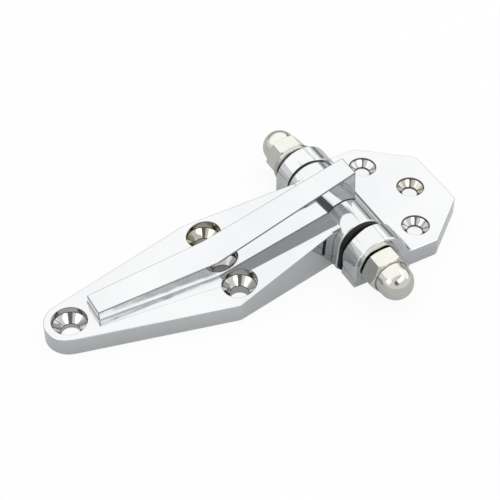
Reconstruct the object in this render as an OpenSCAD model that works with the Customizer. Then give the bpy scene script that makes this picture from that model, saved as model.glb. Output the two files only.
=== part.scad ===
// Surface-mounted refrigerator door hinge: a long kite-shaped door leaf with a raised rib,
// a short frame leaf with two ears, and a through pin held by two domed cap nuts.
// Millimetres. +X runs from the door leaf's tip to the frame leaf, +Y along the pin, +Z away from the door.
// The origin lies on the mounting plane under the middle of the pin.

/* [Pin and knuckles] */
// Diameter of the hinge pin
pin_d = 12; // [10:0.5:13]
// Chamfer at the pin's ends
pin_chamfer = 1.6; // [0.5:0.1:2]
// Height of the pin's axis above the mounting plane
pin_z = 13.4; // [12.5:0.1:15]
// Outer radius of the door leaf's barrel
barrel_r = 12.7; // [12:0.1:13.2]
// How far the toe of the barrel's foot reaches past the barrel towards the tip
foot_reach = 0.9; // [0.5:0.1:1.5]
// Radius of the foot's lower corner
foot_corner_r = 3; // [1:0.5:5]
// Length of the door leaf's barrel along the pin
barrel_l = 47.8; // [44:0.2:56]
// Radius of the ears' round top
ear_r = 14.5; // [13.5:0.1:15.5]
// How far the middle of that round lies from the pin, towards the frame plate
ear_shift = 2.8; // [1:0.1:4]
// How far the middle of that round lies below the pin
ear_drop = 3.3; // [2:0.1:4]
// Thickness of each ear along the pin
ear_w = 11.9; // [9:0.1:15]
// Hollow radius between an ear and the frame plate
ear_fillet = 4.5; // [3:0.5:6]

/* [Door leaf] */
// Distance from the pin to the tip screw
tip_x = 141; // [130:1:160]
// Radius of the round tip
tip_r = 11.9; // [11:0.1:14]
// Thickness at the tip
tip_t = 9.6; // [8.5:0.1:11]
// Distance from the pin to the widest place
kink_x = 68.4; // [64:0.2:76]
// Width at the widest place
kink_w = 59.6; // [57:0.2:70]
// Thickness at the widest place
kink_t = 10.3; // [9.5:0.1:12]
// Radius of the corners at the widest place
kink_r = 5; // [2:0.5:8]
// Width where the leaf runs into the barrel
root_w = 38.6; // [34:0.2:42]
// Place on the barrel where the sloping face meets it, in degrees from the top
root_angle = 44; // [36:1:50]
// Distance from the pin to the pair of screws
pair_x = 62.7; // [58:0.1:66]
// Distance between the screws of the pair
pair_pitch = 36.2; // [35.5:0.1:38]

/* [Rib] */
// Distance from the pin to the rib's end at the tip
rib_tip_x = 129.1; // [120:0.1:129.5]
// Width of the rib at the tip
rib_tip_w = 12.6; // [11:0.1:14]
// Height of the rib at the tip
rib_tip_z = 14.5; // [13:0.1:16]
// Width of the rib at the widest place
rib_kink_w = 16.2; // [14:0.1:17]
// Height of the rib at the widest place
rib_kink_z = 18.7; // [17:0.1:21]
// How far the rib runs past the pin
rib_end_x = 6.5; // [4:0.1:8]
// Width of the rib at the barrel
rib_end_w = 12.2; // [10:0.1:14]
// Height of the rib at the barrel
rib_end_z = 40.6; // [36:0.1:44]
// Lean of the rib's side walls from upright, in degrees
rib_draft = 4; // [0:0.5:6]

/* [Cored back] */
// Wall left round the cored pockets
core_wall = 3; // [2:0.1:3.5]
// Thickness of the frame plate's face over its pocket
plate_face_t = 5; // [4.8:0.1:6]
// Metal left between a pocket and a screw hole or the barrel
core_land = 5; // [3:0.5:6]

/* [Frame leaf] */
// Thickness of the frame plate
plate_t = 9.8; // [8:0.1:11]
// Gap between the barrel and the frame plate
plate_gap = 5.6; // [4.5:0.1:8]
// Distance from the pin to the start of the plate's bevelled corners
plate_side_x = 34.9; // [32:0.1:40]
// Distance from the pin to the plate's outer edge
plate_end_x = 59.2; // [56:0.1:66]
// Width of the plate's outer edge
plate_end_w = 34.8; // [28:0.2:40]
// Radius of the plate's corners
plate_corner_r = 2; // [1:0.5:4]
// Distance from the pin to the frame leaf's pair of screws
frame_pair_x = 31.2; // [29:0.1:33]
// Distance between the screws of the frame leaf's pair
frame_pair_pitch = 48.2; // [44:0.2:50]
// Distance from the pin to the frame leaf's single screw
frame_centre_x = 44.1; // [40:0.1:48]

/* [Screw holes] */
// Diameter of the sunk head's recess in the door leaf
door_recess_d = 16.6; // [15:0.1:17]
// Depth of that recess before the cone starts
door_recess_depth = 3; // [2:0.1:3.4]
// Diameter of the door leaf's screw holes
door_hole_d = 9; // [8.4:0.1:10]
// Diameter of the countersinks in the frame leaf
frame_sink_d = 13.4; // [12:0.1:13.8]
// Straight rim above the frame leaf's countersinks
frame_sink_rim = 0.7; // [0.3:0.1:0.9]
// Diameter of the frame leaf's screw holes
frame_hole_d = 7.4; // [7:0.1:9]

/* [Bushes] */
// Wall of the bush sleeve
bush_wall = 1.5; // [1:0.1:2]
// Length of the bush sleeve in the barrel
bush_l = 16; // [10:0.5:20]
// Thickness of the bush flange
bush_flange_t = 1.8; // [1:0.1:2.4]
// How far the flange stays inside the barrel's outline
bush_flange_inset = 0.6; // [0.4:0.1:2]

/* [Nuts and washers] */
// Width of the nut across its flats
nut_af = 19; // [18:0.5:21]
// Height of the nut's hexagon
nut_hex_h = 10; // [8:0.1:11]
// Chamfer of the hexagon's flats at both ends, measured across
nut_chamfer = 0.8; // [0.4:0.1:1.2]
// Whole height of the nut with its dome
nut_h = 22.4; // [20:0.1:26]
// Radius of the dome
dome_r = 8.6; // [8:0.1:9]
// Turn of the near nut's corners about the pin
near_nut_turn = 7; // [0:1:60]
// Turn of the far nut's corners about the pin
far_nut_turn = 52; // [0:1:60]
// Depth of the threaded hole in the nut
nut_bore_depth = 16; // [12:0.1:17]
// Outer diameter of the washer
washer_d = 22.5; // [21:0.1:23]
// Thickness of the washer
washer_t = 2.5; // [1.5:0.1:3]

/* [Clearances] */
// Radial running clearance between pin and bush
run_clear = 0.05; // [0.02:0.01:0.1]
// Radial clearance of the pin in the ears and of the thread in the nuts
pin_clear = 0.1; // [0.05:0.05:0.2]
// Radial clearance of the washers, and of the pin in the middle of the barrel
loose_clear = 0.5; // [0.3:0.1:0.8]
// Play between each bush flange and its ear
end_play = 0.15; // [0.1:0.05:0.3]
// Room between the pin's end and the bottom of the nut's hole
tip_room = 1; // [0.5:0.5:2]

/* [Hidden] */
$fn = 96;
// Overshoot of a cut past the face that it opens
cut = 1;
// Steps of an outline's rounded corner
corner_steps = 10;
// Depth to which the foot's wall enters the barrel's round, so that the two meet in a clean edge
foot_bite = 0.05;

chrome = [0.82, 0.83, 0.85];
nickel = [0.74, 0.71, 0.66];
black_nylon = [0.05, 0.05, 0.055];

ear_in = barrel_l / 2 + bush_flange_t + end_play;
ear_out = ear_in + ear_w;
nut_seat = ear_out + washer_t;
pin_half = nut_seat + nut_bore_depth - tip_room;
bush_od = pin_d + 2 * run_clear + 2 * bush_wall;
plate_in_x = barrel_r + plate_gap;
// Rise of the flange from its widest place to the barrel, and its thickness at the pair of screws
flange_slope = (root_top()[1] - kink_t) / (kink_x + root_top()[0]);
pair_t = kink_t + (kink_x - pair_x) * flange_slope;

// Point on the barrel, in the plane across the pin, where the sloping face meets it
function root_top() = [-barrel_r * sin(root_angle), pin_z + barrel_r * cos(root_angle)];

// Point where a straight wall from the foot's toe touches a round of radius r about the pin
function foot_touch(toe, r) =
    let (v = toe - [0, pin_z])
    let (t = atan2(v[1], v[0]) - acos(r / norm(v)))
    [r * cos(t), pin_z + r * sin(t)];

// Half of the angle at an outline's corner p, between its neighbours a and b
function half_angle(a, p, b) = acos((a - p) * (b - p) / norm(a - p) / norm(b - p)) / 2;

// Point inside an outline's corner p that lies as far as depth from both of its sides
function inside_corner(a, p, b, depth) =
    let (v = (a - p) / norm(a - p) + (b - p) / norm(b - p))
    p + v / norm(v) * depth / sin(half_angle(a, p, b));

// Points of an outline's corner p, between its neighbours a and b, rounded with radius r
function rounded_corner(a, p, b, r) =
    let (half = half_angle(a, p, b))
    let (centre = inside_corner(a, p, b, r))
    let (start = p + (a - p) / norm(a - p) * r / tan(half) - centre)
    let (turn = sign(cross(p - a, b - p)) * (180 - 2 * half))
    [for (i = [0:corner_steps])
        let (t = atan2(start[1], start[0]) + turn * i / corner_steps)
        centre + r * [cos(t), sin(t)]];

// Outline drawn in by depth on every side
function drawn_in(p, depth) =
    let (n = len(p))
    [for (i = [0:n - 1]) inside_corner(p[(i + n - 1) % n], p[i], p[(i + 1) % n], depth)];

// Corners of the frame plate
function plate_corners() = [
    [plate_in_x, -ear_out], [plate_side_x, -ear_out], [plate_end_x, -plate_end_w / 2],
    [plate_end_x, plate_end_w / 2], [plate_side_x, ear_out], [plate_in_x, ear_out]];

// Outline with each corner rounded; a corner is [x, y, radius], and radius 0 stays sharp
function rounded(corners) =
    let (n = len(corners))
    let (p = [for (c = corners) [c[0], c[1]]])
    [for (i = [0:n - 1]) each
        corners[i][2] > 0
            ? rounded_corner(p[(i + n - 1) % n], p[i], p[(i + 1) % n], corners[i][2])
            : [p[i]]];

// Half width of a strip that tapers from w0 at x0 to w1 at x1
function taper(x, x0, w0, x1, w1) = w0 + (w1 - w0) * (x - x0) / (x1 - x0);

// Angle at the tip's centre between the leaf's middle line and the tip's last tangent point
function tip_tangent() =
    let (reach = [tip_x - kink_x, kink_w / 2])
    atan2(reach[1], reach[0]) + acos(tip_r / norm(reach));

// Half width of the door leaf between its tip and its widest place
function tip_side(x) =
    let (a = tip_tangent())
    taper(x, -tip_x + tip_r * cos(a), tip_r * sin(a), -kink_x, kink_w / 2);

// Half width of the door leaf between its widest place and the barrel
function root_side(x) = taper(x, -kink_x, kink_w / 2, -barrel_r, root_w / 2);

// Half width of the rib along its top edges
function rib_side(x) = x < -kink_x
    ? taper(x, -rib_tip_x, rib_tip_w / 2, -kink_x, rib_kink_w / 2)
    : taper(x, -kink_x, rib_kink_w / 2, rib_end_x, rib_end_w / 2);

// Lays a profile drawn in X and Z across the hinge, from y0 to y1
module across(y0, y1) {
    translate([0, y1, 0])
        rotate([90, 0, 0])
            linear_extrude(y1 - y0)
                children();
}

// Turns a shape made along +Z so that it runs along the pin, outwards on one side
module along_pin(side) {
    translate([0, 0, pin_z])
        rotate([-90 * side, 0, 0])
            children();
}

// Plan of the door leaf: a round tip, the widest place and the root under the barrel
module strap_plan() {
    a = tip_tangent();
    tip_arc = [for (i = [0:4 * corner_steps])
        let (t = a + (360 - 2 * a) * i / (4 * corner_steps))
        [-tip_x + tip_r * cos(t), tip_r * sin(t)]];
    near = rounded_corner(tip_arc[len(tip_arc) - 1], [-kink_x, -kink_w / 2],
                          [-barrel_r, -root_w / 2], kink_r);
    far = [for (i = [len(near) - 1:-1:0]) [near[i][0], -near[i][1]]];
    polygon(concat(tip_arc, near, [[-barrel_r, -root_w / 2], [0, -root_w / 2]],
                   [[0, root_w / 2], [-barrel_r, root_w / 2]], far));
}

// Side profile of the door leaf's flange, lowered by drop for the pockets under it
module strap_profile(drop = 0) {
    root = root_top();
    polygon([[-tip_x - tip_r - cut, -cut * sign(drop)], [0, -cut * sign(drop)], [0, pin_z],
             [root[0], root[1] - drop], [-kink_x, kink_t - drop],
             [-tip_x - tip_r - cut, tip_t - drop]]);
}

// Plan of the slot under the rib, between x0 and x1
module slot_plan(x0, x1) {
    near = [for (x = [x0, -kink_x, x1]) [x, core_wall - rib_side(x)]];
    far = [for (x = [x1, -kink_x, x0]) [x, rib_side(x) - core_wall]];
    polygon(concat(near, far));
}

// Side profile of the rib, lowered by drop for the slot under it
module rib_profile(drop = 0) {
    floor_z = drop > 0 ? -cut : kink_t / 2;
    polygon([[-rib_tip_x, floor_z], [rib_end_x, floor_z], [rib_end_x, rib_end_z - drop],
             [-kink_x, rib_kink_z - drop], [-rib_tip_x, rib_tip_z - drop]]);
}

// Block that a plane cuts from the rib: the plane holds the wall's top edge from p to q and leans by rib_draft
module draft_cut(p, q) {
    run = q[0] - p[0];
    heading = atan2(q[1] - p[1] + (q[2] - p[2]) * tan(rib_draft), run);
    lean = atan(tan(rib_draft) * cos(heading));
    reach = tip_x + tip_r;
    translate(p)
        rotate([0, 0, heading])
            rotate([lean, 0, 0])
                translate([-reach, 0, -reach])
                    cube([2 * reach, kink_w, 2 * reach]);
}

// Raised rib with drafted side walls
module rib() {
    tip = [-rib_tip_x, rib_tip_w / 2, rib_tip_z];
    kink = [-kink_x, rib_kink_w / 2, rib_kink_z];
    end = [rib_end_x, rib_end_w / 2, rib_end_z];
    difference() {
        across(-kink_w / 2, kink_w / 2)
            rib_profile();
        for (side = [0, 1])
            mirror([0, side, 0]) {
                draft_cut(tip, kink);
                draft_cut(kink, end);
            }
    }
}

// Foot of the barrel on the door side, down to the mounting plane, with its outline drawn in by inset
module foot_profile(inset) {
    toe = [-barrel_r - foot_reach + inset, inset];
    touch = foot_touch(toe, barrel_r - inset - foot_bite);
    polygon(rounded([[toe[0], toe[1], foot_corner_r], [0, inset, 0], [0, pin_z, 0], [touch[0], touch[1], 0]]));
}

// Barrel round the pin and its flat foot
module barrel() {
    along_pin(1)
        cylinder(r = barrel_r, h = barrel_l, center = true);
    across(-barrel_l / 2, barrel_l / 2)
        foot_profile(0);
}

// Tool for a screw hole with a straight recess, a right-angled cone and a through hole
module sunk_hole(top, recess_d, recess_depth, hole_d) {
    cone_h = (recess_d - hole_d) / 2;
    rotate_extrude()
        polygon([[0, -cut], [hole_d / 2, -cut], [hole_d / 2, top - recess_depth - cone_h],
                 [recess_d / 2, top - recess_depth], [recess_d / 2, top + pin_z], [0, top + pin_z]]);
}

// Pockets cored into the door leaf's back: a slot under the rib, and one beside it on each side
// of each half, clear of the screw holes
module strap_cores() {
    boss = door_recess_d / 2 + core_land;
    slot_0 = -rib_tip_x + core_land;
    slot_1 = -barrel_r - core_land;
    intersection() {
        linear_extrude(rib_end_z + 2 * cut, center = true)
            slot_plan(slot_0, slot_1);
        across(-kink_w / 2, kink_w / 2)
            rib_profile(core_wall);
    }
    tip_0 = -tip_x + boss + core_land;
    tip_1 = -pair_x - boss;
    root_0 = -pair_x + boss;
    for (side = [-1, 1])
        intersection() {
            linear_extrude(rib_end_z + 2 * cut, center = true) {
                polygon([[tip_0, side * (rib_side(tip_0) + core_wall / 2)],
                         [tip_1, side * (rib_side(tip_1) + core_wall / 2)],
                         [tip_1, side * (tip_side(tip_1) - core_wall)],
                         [tip_0, side * (tip_side(tip_0) - core_wall)]]);
                polygon([[root_0, side * (rib_side(root_0) + core_wall / 2)],
                         [slot_1, side * (rib_side(slot_1) + core_wall / 2)],
                         [slot_1, side * (root_side(slot_1) - core_wall)],
                         [root_0, side * (root_side(root_0) - core_wall)]]);
            }
            across(-kink_w / 2, kink_w / 2)
                strap_profile(core_wall);
        }
}

// Door leaf, cast in one piece with its rib and barrel
module strap_leaf() {
    color(chrome)
        difference() {
            union() {
                intersection() {
                    linear_extrude(rib_end_z)
                        strap_plan();
                    across(-kink_w / 2, kink_w / 2)
                        strap_profile();
                }
                rib();
                barrel();
            }
            for (side = [-1, 1]) {
                along_pin(side)
                    translate([0, 0, barrel_l / 2 - bush_l])
                        cylinder(d = bush_od, h = bush_l + cut);
                translate([-pair_x, side * pair_pitch / 2, 0])
                    sunk_hole(pair_t, door_recess_d, door_recess_depth, door_hole_d);
            }
            along_pin(1)
                cylinder(d = pin_d + 2 * loose_clear, h = barrel_l, center = true);
            translate([-tip_x, 0, 0])
                sunk_hole(tip_t, door_recess_d, door_recess_depth, door_hole_d);
            strap_cores();
        }
}

// Flanged sleeve pressed into one end of the barrel; its flange has the barrel's outline, foot included,
// and runs against the ear
module bush(side) {
    face = side * barrel_l / 2;
    flange_end = face + side * bush_flange_t;
    color(black_nylon)
        difference() {
            union() {
                along_pin(side)
                    translate([0, 0, barrel_l / 2 - bush_l])
                        cylinder(d = bush_od, h = bush_l + bush_flange_t / 2);
                along_pin(side)
                    translate([0, 0, barrel_l / 2])
                        cylinder(r = barrel_r - bush_flange_inset, h = bush_flange_t);
                across(min(face, flange_end), max(face, flange_end))
                    foot_profile(bush_flange_inset);
            }
            along_pin(1)
                cylinder(d = pin_d + 2 * run_clear, h = barrel_l + 2 * bush_flange_t + 2 * cut, center = true);
        }
}

// Side profile of an ear: an upright wall towards the door, a round top and a hollow fillet to the plate
module ear_profile() {
    middle = [ear_shift, pin_z - ear_drop];
    rise = plate_t + ear_fillet - middle[1];
    run = sqrt((ear_r + ear_fillet) * (ear_r + ear_fillet) - rise * rise);
    meet = atan2(rise, run);
    steps = 4 * corner_steps;
    top = [for (i = [0:steps])
        let (t = 180 - (180 - meet) * i / steps)
        middle + ear_r * [cos(t), sin(t)]];
    hollow = [for (i = [1:corner_steps])
        let (t = 180 + meet + (90 - meet) * i / corner_steps)
        middle + [run, rise] + ear_fillet * [cos(t), sin(t)]];
    polygon(concat([[middle[0] - ear_r, 0]], top, hollow, [[frame_pair_x, plate_t], [frame_pair_x, 0]]));
}

// Frame leaf, cast in one piece: the plate with bevelled corners, cored from the back, and the two ears
module butt_leaf() {
    color(chrome)
        difference() {
            union() {
                linear_extrude(plate_t)
                    polygon(rounded([for (p = plate_corners())
                        [p[0], p[1], p[0] > plate_in_x ? plate_corner_r : 0]]));
                for (side = [-1, 1])
                    across(min(side * ear_in, side * ear_out), max(side * ear_in, side * ear_out))
                        ear_profile();
            }
            along_pin(1)
                cylinder(d = pin_d + 2 * pin_clear, h = 2 * ear_out + 2 * cut, center = true);
            for (side = [-1, 1])
                translate([frame_pair_x, side * frame_pair_pitch / 2, 0])
                    sunk_hole(plate_t, frame_sink_d, frame_sink_rim, frame_hole_d);
            translate([frame_centre_x, 0, 0])
                sunk_hole(plate_t, frame_sink_d, frame_sink_rim, frame_hole_d);
            translate([0, 0, -cut])
                linear_extrude(plate_t - plate_face_t + cut)
                    polygon(drawn_in(plate_corners(), core_wall));
        }
}

// Through pin with chamfered ends
module hinge_pin() {
    r = pin_d / 2;
    c = pin_chamfer;
    color(nickel)
        along_pin(1)
            rotate_extrude()
                polygon([[0, -pin_half], [r - c, -pin_half], [r, c - pin_half],
                         [r, pin_half - c], [r - c, pin_half], [0, pin_half]]);
}

// Flat washer between an ear and its nut
module washer(side) {
    color(nickel)
        along_pin(side)
            translate([0, 0, ear_out])
                difference() {
                    cylinder(d = washer_d, h = washer_t);
                    translate([0, 0, -cut])
                        cylinder(d = pin_d + 2 * loose_clear, h = washer_t + 2 * cut);
                }
}

// Domed cap nut: a hexagon chamfered at both ends, a short neck and a round dome over a blind hole
module cap_nut(side, turn) {
    corner_d = nut_af / cos(30);
    seat_r = nut_af / 2 - nut_chamfer;
    chamfer_h = (corner_d / 2 + cut - seat_r) * tan(30);
    neck_r = dome_r - pin_clear;
    color(nickel)
        along_pin(side)
            translate([0, 0, nut_seat])
                rotate([0, 0, turn])
                    difference() {
                        union() {
                            intersection() {
                                cylinder(d = corner_d, h = nut_hex_h, $fn = 6);
                                rotate_extrude()
                                    polygon([[0, 0], [seat_r, 0], [corner_d / 2 + cut, chamfer_h],
                                             [corner_d / 2 + cut, nut_hex_h - chamfer_h],
                                             [seat_r, nut_hex_h], [0, nut_hex_h]]);
                            }
                            cylinder(r = neck_r, h = nut_h - dome_r);
                            translate([0, 0, nut_h - dome_r])
                                sphere(r = dome_r);
                        }
                        translate([0, 0, -cut])
                            cylinder(d = pin_d + 2 * pin_clear, h = nut_bore_depth + cut);
                    }
}

module near_bush() { bush(-1); }
module far_bush() { bush(1); }
module near_washer() { washer(-1); }
module far_washer() { washer(1); }
module near_cap_nut() { cap_nut(-1, near_nut_turn); }
module far_cap_nut() { cap_nut(1, far_nut_turn); }

strap_leaf();
near_bush();
far_bush();
butt_leaf();
hinge_pin();
near_washer();
far_washer();
near_cap_nut();
far_cap_nut();
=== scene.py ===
"""Looks of a chrome-plated refrigerator door hinge: plated castings, nickel cap nuts and black bushes."""
import math

import bmesh
import bpy
from mathutils import Matrix, Vector
from mathutils.bvhtree import BVHTree


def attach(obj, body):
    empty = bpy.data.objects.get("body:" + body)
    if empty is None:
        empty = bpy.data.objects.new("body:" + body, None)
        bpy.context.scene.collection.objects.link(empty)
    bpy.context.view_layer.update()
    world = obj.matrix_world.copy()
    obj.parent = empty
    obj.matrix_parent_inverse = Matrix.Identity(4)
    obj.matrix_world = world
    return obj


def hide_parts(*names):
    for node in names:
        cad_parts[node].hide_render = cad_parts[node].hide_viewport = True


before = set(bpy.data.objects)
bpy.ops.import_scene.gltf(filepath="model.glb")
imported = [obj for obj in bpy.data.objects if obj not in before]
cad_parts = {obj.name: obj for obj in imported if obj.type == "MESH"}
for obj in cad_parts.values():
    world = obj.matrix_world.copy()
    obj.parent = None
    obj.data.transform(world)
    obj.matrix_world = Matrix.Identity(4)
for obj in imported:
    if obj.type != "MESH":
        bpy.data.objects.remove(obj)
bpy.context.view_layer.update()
SCENE = bpy.context.scene
MM = 0.001

# The camera: turn and tilt; in millimetres how far it stands back, aside and up and a last move along X;
# and its focal length in pixels of the photograph
CAMERA_AZIMUTH = math.radians(-28.95)
CAMERA_ELEVATION = math.radians(45.27)
CAMERA_DISTANCE = 702.5
CAMERA_SIDE = -40.4
CAMERA_RISE = -9.1
FRAME_SHIFT = -1.0
FOCAL_PIXELS = 1426.2
IMAGE_PIXELS = 500
SENSOR_WIDTH = 36.0

# Dark things in the studio that the metal mirrors, the lens and the arm that holds it, each as
# (direction, cosine where it starts, cosine where it is full, depth)
DARK_PLACES = [((-0.372, -0.694, 0.617), 0.95, 0.985, 0.80),
               ((0.070, -0.470, 0.880), 0.97, 0.995, 0.25)]

# The dim band low at the back of the studio, by height and depth, the even light on matte things, and
# the point that the lamps face
BAND_MIDDLE = 0.12
BAND_HALF = 0.20
BAND_DEPTH = 0.85
EVEN_LIGHT = 0.6
LAMP_AIM = Vector((-40 * MM, 0, 10 * MM))

# Tones of the metals, each from dark to pale, and of the dark lines painted along edges as shade and
# reflection
NICKEL = ((0.545, 0.540, 0.490, 1), (0.630, 0.627, 0.585, 1))
ZINC = ((0.40, 0.40, 0.37, 1), (0.50, 0.50, 0.47, 1))
PAINTED_LINE_TONE = (0.045, 0.050, 0.055, 1)

# How dark the painted lines of shade and reflection look, from 0 to 1; the rib's two as (at its tip, growth
# to the pin)
DOOR_HOLE_LINE = 0.75
FRAME_HOLE_LINE = 0.8
BARREL_LINE = 0.8
RIB_FOOT_LINE = (0.35, 0.65)
RIB_TOP_LINE = (0.6, 0.3)
NUT_LINE = 0.6

# Sizes of the hinge that the finish follows, in millimetres
PIN_Z = 13.4
PIN_HALF = 55.25
PIN_R = 6.0
PIN_CHAMFER = 0.8
SHOULDER_INSET = 0.3
NUT_SEAT = 40.25
NUT_NECK = 50.2
# How far out along the pin the painted shade between nut and washer reaches
NUT_CREVICE_SHADE = NUT_SEAT + 0.7
BORE_REACH = 10.0
THREAD_ROOT_R = 5.15
THREAD_SINK = 0.1
THREAD_PITCH = 1.75
THREAD_BASE = 1.5
THREAD_CREST = 0.25
THREAD_START = 0.4
THREAD_RUNOUT = 1.6
KNUCKLE_REACH = 18.0
KNUCKLE_INNER = 11.0
BARREL_HALF = 23.9
BARREL_FOOT_X = -16.0
ROOT_HALF = 19.3
RIB_TIP_X = -129.1
RIB_KINK_X = -68.4
RIB_KINK_WALL_Z = 14.5
RIB_REACH = 10.3
RIB_LOWEST = 8.0
TIP_CLIMB = 0.04
ROOT_CLIMB = 0.25
EAR_OUT = 37.75
EAR_END_X = 21.3
EAR_RIM_FADE = 9.0
BACK_LIMIT = 0.4

# How near to a rim, a face or a line an edge's middle lies when it counts as part of it, in millimetres
NEAR = 0.5
NEAR_TIP = 1.0
NEAR_ROOT = 0.7
NEAR_NECK = 0.35

# Rounding of the edges, in millimetres, and how much of it a millimetre above the back allows
FINE_EDGE = 0.25
CASTING_EDGE = 0.6
BARREL_EDGE = 0.8
RIB_EDGE = 0.45
RIB_FOOT_EDGE = 0.5
PLATE_FINE_EDGE = 0.3
EAR_RIM_EDGE = 1.3
STEEL_EDGE = 0.3
BUSH_EDGE = 0.2
EDGE_GROWTH = 0.15
EDGE_SEGMENTS = 3
SHARP_ANGLE = math.radians(24)

# Clean-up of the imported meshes: merging, flat joins, and how far a rounded corner may lie off its solid
MERGE = 0.004 * MM
SLIVER = 0.002 * MM
FLAT_ANGLE = math.radians(0.6)
STRAY_GAP = 0.5 * MM

# Screw holes as (x, y, recess radius) in millimetres
DOOR_HOLES = [(-141.0, 0.0, 8.3), (-62.7, 18.1, 8.3), (-62.7, -18.1, 8.3)]
FRAME_HOLES = [(31.2, 24.1, 6.7), (31.2, -24.1, 6.7), (44.1, 0.0, 6.7)]


class Value:
    """A shader socket that takes part in sums: each operator adds a Math node to the tree."""

    def __init__(self, nodes, socket):
        self.nodes = nodes
        self.socket = socket

    def math(self, operation, a, b=0.0):
        return self.nodes.node("ShaderNodeMath", {"operation": operation}, {0: a, 1: b})

    def __add__(self, other):
        return self.math("ADD", self, other)

    def __radd__(self, other):
        return self.math("ADD", other, self)

    def __sub__(self, other):
        return self.math("SUBTRACT", self, other)

    def __rsub__(self, other):
        return self.math("SUBTRACT", other, self)

    def __mul__(self, other):
        return self.math("MULTIPLY", self, other)

    def __rmul__(self, other):
        return self.math("MULTIPLY", other, self)

    def __truediv__(self, other):
        return self.math("DIVIDE", self, other)

    def __rtruediv__(self, other):
        return self.math("DIVIDE", other, self)

    def __lt__(self, other):
        return self.math("LESS_THAN", self, other)

    def __gt__(self, other):
        return self.math("GREATER_THAN", self, other)

    def __abs__(self):
        return self.math("ABSOLUTE", self)

    def at_least(self, other):
        return self.math("MAXIMUM", self, other)

    def held(self):
        """The value kept between 0 and 1."""
        return self.math("MINIMUM", self.at_least(0.0), 1.0)


class Nodes:
    """A node tree that is written as expressions."""

    def __init__(self, tree):
        self.tree = tree
        tree.nodes.clear()

    def feed(self, socket, value):
        if isinstance(value, Value):
            self.tree.links.new(value.socket, socket)
        else:
            socket.default_value = value

    def node(self, kind, settings=None, sockets=None, out=0):
        """Adds a node: its settings first, then the values or links of its sockets."""
        made = self.tree.nodes.new(kind)
        for key, value in (settings or {}).items():
            setattr(made, key, value)
        for key, value in (sockets or {}).items():
            self.feed(made.inputs[key], value)
        return Value(self, made.outputs[out] if made.outputs else None)

    def place(self):
        """Object coordinates: the piece's own place in metres."""
        return self.node("ShaderNodeTexCoord", out="Object")

    def part(self, vector, axis):
        """One of a vector's three numbers."""
        return self.node("ShaderNodeSeparateXYZ", None, {0: vector}, axis)

    def light_path(self, kind):
        return self.node("ShaderNodeLightPath", out=kind)

    def noise(self, scale, detail=2.0, stretch=None):
        """Noise from 0 to 1 on the piece's own place, stretched along its axes where asked."""
        place = self.place()
        if stretch:
            place = self.node("ShaderNodeVectorMath", {"operation": "MULTIPLY"}, {0: place, 1: stretch})
        sockets = {"Vector": place, "Scale": scale, "Detail": detail}
        return self.node("ShaderNodeTexNoise", None, sockets, "Fac")

    def blend(self, factor, first, second):
        """A colour between two colours."""
        return self.node("ShaderNodeMix", {"data_type": "RGBA"}, {0: factor, 6: first, 7: second}, 2)

    def bump(self, height, distance):
        """A normal bent by a height of so many metres."""
        return self.node("ShaderNodeBump", None, {"Height": height, "Distance": distance}, "Normal")


class Finish(Nodes):
    """A material with a Principled shader at its end."""

    def __init__(self, name):
        self.material = bpy.data.materials.new(name)
        self.material.use_nodes = True
        super().__init__(self.material.node_tree)

    def with_painted_lines(self, tone):
        """A tone darkened by painted shade and painted reflection on the rounded edges that carry a dark
        line.
        """
        lines = self.node("ShaderNodeAttribute", {"attribute_name": "painted_dark_line"}, out="Fac")
        return self.blend(lines, tone, PAINTED_LINE_TONE)

    def principled(self, **sockets):
        named = {key.replace("_", " "): value for key, value in sockets.items()}
        shader = self.node("ShaderNodeBsdfPrincipled", None, named)
        self.node("ShaderNodeOutputMaterial", None, {"Surface": shader})
        return self.material


def in_holes(s, holes):
    """1 inside the screw holes, from the distance to each hole's axis, and 0 elsewhere and on the back."""
    rim = 0.05
    back = 0.3
    inside = 0.0
    for x, y, radius in holes:
        flat = s.node("ShaderNodeVectorMath", {"operation": "MULTIPLY"}, {0: s.place(), 1: (1, 1, 0)})
        axis = (x * MM, y * MM, 0)
        reach = s.node("ShaderNodeVectorMath", {"operation": "DISTANCE"}, {0: flat, 1: axis}, "Value")
        inside = inside + (reach < (radius + rim) * MM)
    return inside * (s.part(s.place(), "Z") > back * MM)


def plated_casting(name, cool_holes, warm_holes):
    """Bright chrome over a casting: a faint ripple, thin haze, draw marks along the knuckles, painted dark
    lines of shade and reflection along some edges and the yellower nickel under the chrome where it is
    thin, down in the screw holes."""
    s = Finish(name)
    beside_pin = abs(s.part(s.place(), "X")) < KNUCKLE_REACH * MM
    at_knuckle = beside_pin * (abs(s.part(s.place(), "Y")) > KNUCKLE_INNER * MM)
    marks = s.noise(1.0, 2.0, stretch=(620.0, 45.0, 620.0)) * at_knuckle
    ripple = s.noise(30.0, 1.0) + s.noise(110.0, 1.0) * 0.25 + marks * 0.05
    cloud = ((s.noise(26.0, 3.0) - 0.5) * 1.8 + 0.6).held()
    tone = s.blend(cloud, (0.545, 0.553, 0.560, 1), (0.606, 0.611, 0.615, 1))
    scored = ((marks - 0.60) * 9.0).held() * 0.55
    tone = s.blend(scored, tone, (0.20, 0.21, 0.22, 1))
    thin = in_holes(s, cool_holes) * 0.25 + in_holes(s, warm_holes) * 0.9
    # Painted shade and painted reflection: dark lines on the rounded edges go over the tone
    colour = s.with_painted_lines(s.blend(thin, tone, (0.520, 0.490, 0.415, 1)))
    return s.principled(Base_Color=colour, Metallic=1.0, Roughness=0.035 + s.noise(90.0, 4.0) * 0.04,
                        Normal=s.bump(ripple, 0.00010))


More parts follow.
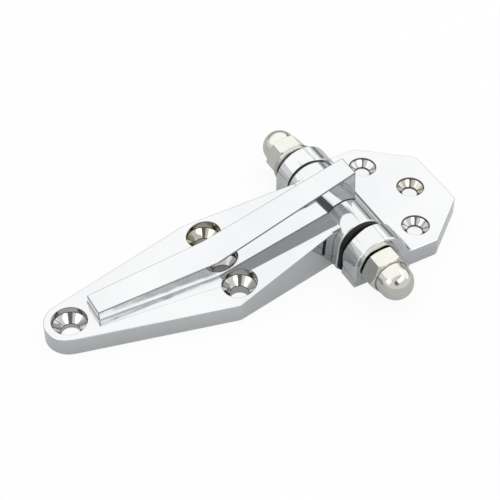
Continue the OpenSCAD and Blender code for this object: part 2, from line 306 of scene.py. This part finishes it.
def turned_nickel(name, low, high, crevice_shade=0.0):
    """Warm nickel on turned steel between two tones, with faint turning marks round the pin's axis; it
    carries nearly black painted shade as far out along the pin as the last argument reaches, in
    millimetres, where a nut meets its washer."""
    s = Finish(name)
    marks = s.noise(1.0, 3.0, stretch=(300.0, 2600.0, 300.0))
    tone = s.blend(s.noise(120.0, 3.0), low, high)
    if crevice_shade:
        # Painted shade: nearly black in the crease where the nut meets its washer
        tone = s.blend(abs(s.part(s.place(), "Y")) < crevice_shade * MM, tone, (0.03, 0.03, 0.025, 1))
    # Painted shade and painted reflection: dark lines on the rounded edges go over the tone
    return s.principled(Base_Color=s.with_painted_lines(tone), Metallic=1.0, Roughness=0.07 + marks * 0.08,
                        Normal=s.bump(marks, 0.000008))


def black_nylon(name):
    """Matte black moulded nylon with a fine grain."""
    s = Finish(name)
    grain = s.noise(2500.0, 2.0)
    tone = s.blend(s.noise(300.0), (0.006, 0.007, 0.006, 1), (0.014, 0.015, 0.013, 1))
    return s.principled(Base_Color=tone, Specular_IOR_Level=0.2, Roughness=0.42 + grain * 0.15,
                        Normal=s.bump(grain, 0.00003))


def show(mesh, name, material, node, body):
    """Puts a finished mesh in the scene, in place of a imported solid."""
    piece = bpy.data.objects.new(name, mesh)
    SCENE.collection.objects.link(piece)
    mesh.materials.clear()
    mesh.materials.append(material)
    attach(piece, body)
    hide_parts(node)


def baked(rough):
    """The plain mesh that an object's modifiers make; the object itself goes."""
    bpy.context.view_layer.update()
    mesh = bpy.data.meshes.new_from_object(rough.evaluated_get(bpy.context.evaluated_depsgraph_get()))
    bpy.data.objects.remove(rough)
    return mesh


def no_line(middle):
    """For edges without a dark line."""
    return 0.0


def edge_lines(mesh, line_at):
    """Writes how dark the painted line of shade and reflection on each rounded edge looks and takes away
    the mark of its faces.
    """
    lines = mesh.attributes.new("painted_dark_line", "FLOAT", "FACE")
    for face, line in zip(mesh.polygons, lines.data):
        if face.material_index:
            line.value = line_at(face.center / MM)
            face.material_index = 0


def keep_to_solid(mesh, node):
    """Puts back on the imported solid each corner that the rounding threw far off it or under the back."""
    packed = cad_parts[node].data
    corners = [vert.co for vert in packed.vertices]
    surface = BVHTree.FromPolygons(corners, [face.vertices for face in packed.polygons])
    for vert in mesh.vertices:
        spot, _, _, gap = surface.find_nearest(vert.co)
        if gap > STRAY_GAP or vert.co.z < 0.0:
            vert.co = spot


def eased(node, width_at, line_at=no_line):
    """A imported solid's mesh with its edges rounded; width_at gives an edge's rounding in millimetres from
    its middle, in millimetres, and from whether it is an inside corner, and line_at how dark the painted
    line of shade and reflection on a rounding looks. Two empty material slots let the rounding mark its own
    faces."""
    mesh = bpy.data.meshes.new(node + "_eased")
    for slot in range(2):
        mesh.materials.append(None)
    shell = bmesh.new()
    shell.from_mesh(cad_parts[node].data)
    bmesh.ops.remove_doubles(shell, verts=shell.verts, dist=MERGE)
    bmesh.ops.dissolve_degenerate(shell, edges=shell.edges, dist=SLIVER)
    bmesh.ops.dissolve_limit(shell, angle_limit=FLAT_ANGLE, verts=shell.verts, edges=shell.edges)
    weight = shell.edges.layers.float.new("bevel_weight_edge")
    for edge in shell.edges:
        if len(edge.link_faces) == 2 and edge.calc_face_angle() > SHARP_ANGLE:
            middle = (edge.verts[0].co + edge.verts[1].co) / 2 / MM
            edge[weight] = width_at(middle, not edge.is_convex)
    shell.to_mesh(mesh)
    shell.free()
    mesh.polygons.foreach_set("use_smooth", [True] * len(mesh.polygons))
    rough = bpy.data.objects.new(node + "_rough", mesh)
    SCENE.collection.objects.link(rough)
    ease = rough.modifiers.new("ease", "BEVEL")
    ease.width = MM
    ease.segments = EDGE_SEGMENTS
    ease.limit_method = "WEIGHT"
    ease.material = 1
    ease.miter_outer = "MITER_ARC"
    ease.use_clamp_overlap = False
    ease.loop_slide = False
    flatten = rough.modifiers.new("flatten", "WEIGHTED_NORMAL")
    flatten.mode = "FACE_AREA_WITH_ANGLE"
    made = baked(rough)
    keep_to_solid(made, node)
    edge_lines(made, line_at)
    return made


def near_hole(middle, holes):
    """True in a screw hole and just round its rim."""
    return any(math.hypot(middle.x - x, middle.y - y) < radius + NEAR for x, y, radius in holes)


def in_bore(middle):
    """True at the edges round the pin, which the bushes and washers hide."""
    return math.hypot(middle.x, middle.z - PIN_Z) < BORE_REACH


def on_rib(middle):
    """True at the rib's edges, from its tip to its end over the barrel."""
    return abs(middle.y) < RIB_REACH and middle.x > RIB_TIP_X - NEAR_TIP and middle.z > RIB_LOWEST


def at_rib_foot(middle):
    """True under the height halfway up the rib's wall, which climbs faster from the kink to the barrel."""
    climb = TIP_CLIMB if middle.x < RIB_KINK_X else ROOT_CLIMB
    return middle.z < RIB_KINK_WALL_Z + climb * (middle.x - RIB_KINK_X)


def beside_barrel(middle):
    """True where the door leaf's root runs into the barrel, out to the root's sides."""
    return middle.x > BARREL_FOOT_X and RIB_REACH < abs(middle.y) < ROOT_HALF + NEAR_ROOT


def door_edge(middle, inside):
    """Rounding of the door leaf's edges: soft on the casting, finer at holes, on the rib, beside the barrel
    and towards the ground back, and none in the bore."""
    if in_bore(middle):
        return 0.0
    if middle.z < BACK_LIMIT or near_hole(middle, DOOR_HOLES) or inside and beside_barrel(middle):
        return FINE_EDGE
    if on_rib(middle):
        return RIB_FOOT_EDGE if inside else RIB_EDGE
    full = BARREL_EDGE if abs(middle.y) > BARREL_HALF - NEAR else CASTING_EDGE
    return min(full, FINE_EDGE + EDGE_GROWTH * middle.z)


def door_line(middle):
    """Painted dark lines of shade and reflection round the screw holes, beside the barrel and along the
    rib, darker towards the barrel.
    """
    if near_hole(middle, DOOR_HOLES):
        return DOOR_HOLE_LINE
    if on_rib(middle):
        nearness = 1 - middle.x / RIB_TIP_X
        start, growth = RIB_FOOT_LINE if at_rib_foot(middle) else RIB_TOP_LINE
        return start + growth * nearness
    return BARREL_LINE if beside_barrel(middle) and abs(middle.y) > ROOT_HALF - NEAR else 0.0


def frame_edge(middle, inside):
    """Rounding of the frame leaf's edges: full on the ears' outer rims, where it fades towards the plate,
    finer at holes and at the ground back, and none in the bores."""
    if in_bore(middle):
        return 0.0
    if middle.z < BACK_LIMIT or near_hole(middle, FRAME_HOLES):
        return PLATE_FINE_EDGE
    if abs(middle.y) > EAR_OUT - NEAR:
        share = min(max((EAR_END_X - middle.x) / EAR_RIM_FADE, 0.0), 1.0)
        return CASTING_EDGE + (EAR_RIM_EDGE - CASTING_EDGE) * share
    return CASTING_EDGE


def frame_line(middle):
    """Painted dark lines of shade and reflection round the frame leaf's screw holes."""
    return FRAME_HOLE_LINE if near_hole(middle, FRAME_HOLES) and middle.z > BACK_LIMIT else 0.0


def nut_line(middle):
    """A painted dark line of shade where the dome leaves the hexagon."""
    return NUT_LINE if abs(abs(middle.y) - NUT_NECK) < NEAR_NECK else 0.0


def threaded_pin(material):
    """The through pin: a plain shank turned down at both ends, where a thread runs into the nuts."""
    outline = [(0.0, -PIN_HALF),
               (THREAD_ROOT_R - PIN_CHAMFER, -PIN_HALF),
               (THREAD_ROOT_R, PIN_CHAMFER - PIN_HALF),
               (THREAD_ROOT_R, SHOULDER_INSET - NUT_SEAT),
               (PIN_R, SHOULDER_INSET + PIN_CHAMFER - NUT_SEAT)]
    outline += [(r, -y) for r, y in reversed(outline)]
    steps = 64
    shell = bmesh.new()
    rings = []
    for r, y in outline:
        turns = [2 * math.pi * i / steps for i in range(steps if r else 1)]
        spots = [(r * math.cos(t), y, PIN_Z + r * math.sin(t)) for t in turns]
        rings.append([shell.verts.new([c * MM for c in spot]) for spot in spots])
    for a, b in zip(rings, rings[1:]):
        for i in range(steps):
            ring = [a[i % len(a)], a[(i + 1) % len(a)], b[(i + 1) % len(b)], b[i % len(b)]]
            shell.faces.new(list(dict.fromkeys(ring)))
    bmesh.ops.recalc_face_normals(shell, faces=shell.faces)
    mesh = bpy.data.meshes.new("hinge_pin_shank")
    shell.to_mesh(mesh)
    shell.free()
    rough = bpy.data.objects.new("hinge_pin_rough", mesh)
    SCENE.collection.objects.link(rough)
    thread = rough.modifiers.new("thread", "NODES")
    thread.node_group = thread_tree()
    length = PIN_HALF - NUT_SEAT - THREAD_RUNOUT
    sizes = {"Material": material,
             "Turns": length / THREAD_PITCH,
             "Length": length * MM,
             "Root Radius": (THREAD_ROOT_R - THREAD_SINK) * MM,
             "Depth": (PIN_R - THREAD_ROOT_R) * MM,
             "Base Width": THREAD_BASE * MM,
             "Crest Width": THREAD_CREST * MM,
             "Start": (NUT_SEAT + THREAD_START) * MM,
             "Axis Height": PIN_Z * MM}
    for item in thread.node_group.interface.items_tree:
        if item.in_out == "INPUT" and item.name in sizes:
            thread[item.identifier] = sizes[item.name]
    return baked(rough)


def thread_tree():
    """Geometry nodes for the pin's threads: a trapezium swept along a helix, at both ends of the shank."""
    tree = bpy.data.node_groups.new("pin_thread", "GeometryNodeTree")
    tree.interface.new_socket("Geometry", in_out="INPUT", socket_type="NodeSocketGeometry")
    tree.interface.new_socket("Material", in_out="INPUT", socket_type="NodeSocketMaterial")
    names = ("Turns", "Length", "Root Radius", "Depth", "Base Width", "Crest Width", "Start", "Axis Height")
    for name in names:
        tree.interface.new_socket(name, in_out="INPUT", socket_type="NodeSocketFloat")
    tree.interface.new_socket("Geometry", in_out="OUTPUT", socket_type="NodeSocketGeometry")
    n = Nodes(tree)
    given = tree.nodes.new("NodeGroupInput")
    size = {socket.name: Value(n, socket) for socket in given.outputs if socket.name}
    radius = size["Root Radius"] + size["Depth"] * 0.5
    helix = n.node("GeometryNodeCurveSpiral", None, {
        "Resolution": 40, "Rotations": size["Turns"], "Start Radius": radius, "End Radius": radius,
        "Height": size["Length"]})
    helix = n.node("GeometryNodeSetCurveNormal", {"mode": "Z_UP"}, {"Curve": helix})
    ridge = n.node("GeometryNodeCurvePrimitiveQuadrilateral", {"mode": "TRAPEZOID"}, {
        "Height": size["Depth"], "Bottom Width": size["Base Width"], "Top Width": size["Crest Width"],
        "Offset": 0.0})
    outward = (0, 0, math.radians(-90))
    ridge = n.node("GeometryNodeTransform", None, {"Geometry": ridge, "Rotation": outward})
    sweep = n.node("GeometryNodeCurveToMesh", None, {
        "Curve": helix, "Profile Curve": ridge, "Fill Caps": True})
    ends = []
    for side in (-1, 1):
        spot = n.node("ShaderNodeCombineXYZ", None, {
            "X": 0.0, "Y": size["Start"] * side, "Z": size["Axis Height"]})
        turn = (math.radians(-90 * side), 0, 0)
        ends.append(n.node("GeometryNodeTransform", None, {
            "Geometry": sweep, "Translation": spot, "Rotation": turn}))
    joined = tree.nodes.new("GeometryNodeJoinGeometry")
    for piece in (size["Geometry"], *ends):
        tree.links.new(piece.socket, joined.inputs[0])
    real = n.node("GeometryNodeRealizeInstances", None, {0: Value(n, joined.outputs[0])})
    plated = n.node("GeometryNodeSetMaterial", None, {"Geometry": real, "Material": size["Material"]})
    n.node("NodeGroupOutput", None, {"Geometry": plated})
    return tree


def photo_camera():
    """The camera at the photograph's turn, tilt and distance, looking straight along its own axis."""
    a, e = CAMERA_AZIMUTH, CAMERA_ELEVATION
    right = Vector((math.cos(a), math.sin(a), 0.0))
    back = Vector((math.sin(a) * math.cos(e), -math.cos(a) * math.cos(e), math.sin(e)))
    up = back.cross(right)
    place = right * CAMERA_SIDE + up * CAMERA_RISE + back * CAMERA_DISTANCE + Vector((FRAME_SHIFT, 0, 0))
    data = bpy.data.cameras.new("photo_camera")
    data.sensor_width = SENSOR_WIDTH
    data.lens = FOCAL_PIXELS / IMAGE_PIXELS * SENSOR_WIDTH
    data.clip_start = 0.01
    camera = bpy.data.objects.new("photo_camera", data)
    turn = Matrix((right, up, back)).transposed().to_4x4()
    camera.matrix_world = Matrix.Translation(place * MM) @ turn
    SCENE.collection.objects.link(camera)
    SCENE.camera = camera


def softbox(name, direction, distance, size, brightness):
    """A rectangular area lamp that faces the hinge's middle, as bright as given where white is 1."""
    data = bpy.data.lights.new(name, "AREA")
    data.shape = "RECTANGLE"
    data.size, data.size_y = size
    data.energy = brightness * size[0] * size[1] * math.pi
    lamp = bpy.data.objects.new(name, data)
    aim = Vector(direction).normalized()
    lamp.location = aim * distance + LAMP_AIM
    lamp.rotation_euler = aim.to_track_quat("Z", "Y").to_euler()
    SCENE.collection.objects.link(lamp)


def white_studio():
    """White surroundings for the eye and for mirrors, with a dim band low at the back of the studio and its
    few dark things, and a weaker even light on everything else."""
    world = bpy.data.worlds.new("white_studio")
    world.use_nodes = True
    SCENE.world = world
    n = Nodes(world.node_tree)
    way = n.node("ShaderNodeTexCoord", out="Generated")
    # The band fades in over Y from -0.2 to 0.2 and over X from -0.5 to -0.2
    behind = ((n.part(way, "Y") + 0.2) / 0.4).held() * ((n.part(way, "X") + 0.5) / 0.3).held()
    band = (1.0 - abs(n.part(way, "Z") - BAND_MIDDLE) / BAND_HALF).held()
    mirrored = 1.0 - band * behind * BAND_DEPTH
    for place, start, full, depth in DARK_PLACES:
        facing = n.node("ShaderNodeVectorMath", {"operation": "DOT_PRODUCT"}, {0: way, 1: place}, "Value")
        mirrored = mirrored * (1.0 - ((facing - start) / (full - start)).held() * depth)
    eye = n.light_path("Is Camera Ray")
    mirror = n.light_path("Is Glossy Ray").at_least(n.light_path("Is Transmission Ray"))
    strength = eye + (1.0 - eye) * (mirror * mirrored + (1.0 - mirror) * EVEN_LIGHT)
    sky = n.node("ShaderNodeBackground", None, {"Color": (1, 1, 1, 1), "Strength": strength})
    n.node("ShaderNodeOutputWorld", None, {"Surface": sky})


def pale_floor():
    """A wide pale floor under the hinge that keeps a faint shadow."""
    half = 3.0
    drop = 0.05 * MM
    corners = [(-half, -half, 0), (half, -half, 0), (half, half, 0), (-half, half, 0)]
    mesh = bpy.data.meshes.new("pale_floor")
    mesh.from_pydata(corners, [], [(0, 1, 2, 3)])
    floor = bpy.data.objects.new("pale_floor", mesh)
    floor.location.z = -drop
    SCENE.collection.objects.link(floor)
    s = Finish("pale_floor")
    lit = s.node("ShaderNodeBsdfDiffuse", None, {"Color": (0.9, 0.9, 0.9, 1)})
    white = s.node("ShaderNodeEmission", None, {"Color": (1, 1, 1, 1), "Strength": 1.0})
    cool = s.node("ShaderNodeEmission", None, {"Color": (0.50, 0.53, 0.54, 1), "Strength": 1.0})
    mirrored = s.light_path("Is Glossy Ray").at_least(s.light_path("Is Transmission Ray")) * 0.5
    lit = s.node("ShaderNodeMixShader", None, {0: mirrored, 1: lit, 2: cool})
    cover = s.node("ShaderNodeMixShader", None, {0: s.light_path("Is Camera Ray") * 0.9, 1: lit, 2: white})
    s.node("ShaderNodeOutputMaterial", None, {"Surface": cover})
    mesh.materials.append(s.material)


SCENE.view_settings.view_transform = "Standard"
photo_camera()
white_studio()
pale_floor()
softbox("overhead_softbox", (0.0, 0.45, 0.89), distance=0.9, size=(2.1, 1.35), brightness=0.58)
softbox("front_softbox", (0.192, -0.627, 0.755), distance=1.0, size=(0.8, 0.34), brightness=1.72)
softbox("right_softbox", (0.78, -0.10, 0.62), distance=1.0, size=(0.9, 0.8), brightness=0.58)
softbox("side_softbox", (-0.85, -0.05, 0.5), distance=1.0, size=(0.5, 0.5), brightness=1.2)

door_chrome = plated_casting("door_chrome", DOOR_HOLES[::2], DOOR_HOLES[1:2])
frame_chrome = plated_casting("frame_chrome", FRAME_HOLES[:2], FRAME_HOLES[2:])
pin_nickel = turned_nickel("pin_nickel", *NICKEL)
nut_nickel = turned_nickel("nut_nickel", *NICKEL, NUT_CREVICE_SHADE)
washer_zinc = turned_nickel("washer_zinc", *ZINC)
nylon = black_nylon("black_nylon")

door_mesh = eased("strap_leaf", door_edge, door_line)
show(door_mesh, "door_leaf_casting", door_chrome, "strap_leaf", "door_leaf")
frame_mesh = eased("butt_leaf", frame_edge, frame_line)
show(frame_mesh, "frame_leaf_casting", frame_chrome, "butt_leaf", "frame_leaf")
for side in ("near", "far"):
    nut = eased(side + "_cap_nut", lambda middle, inside: STEEL_EDGE, nut_line)
    show(nut, side + "_domed_nut", nut_nickel, side + "_cap_nut", "frame_leaf")
    washer = eased(side + "_washer", lambda middle, inside: STEEL_EDGE)
    show(washer, side + "_flat_washer", washer_zinc, side + "_washer", "frame_leaf")
    bush = eased(side + "_bush", lambda middle, inside: BUSH_EDGE)
    show(bush, side + "_flanged_bush", nylon, side + "_bush", "door_leaf")
show(threaded_pin(pin_nickel), "threaded_pin", pin_nickel, "hinge_pin", "frame_leaf")
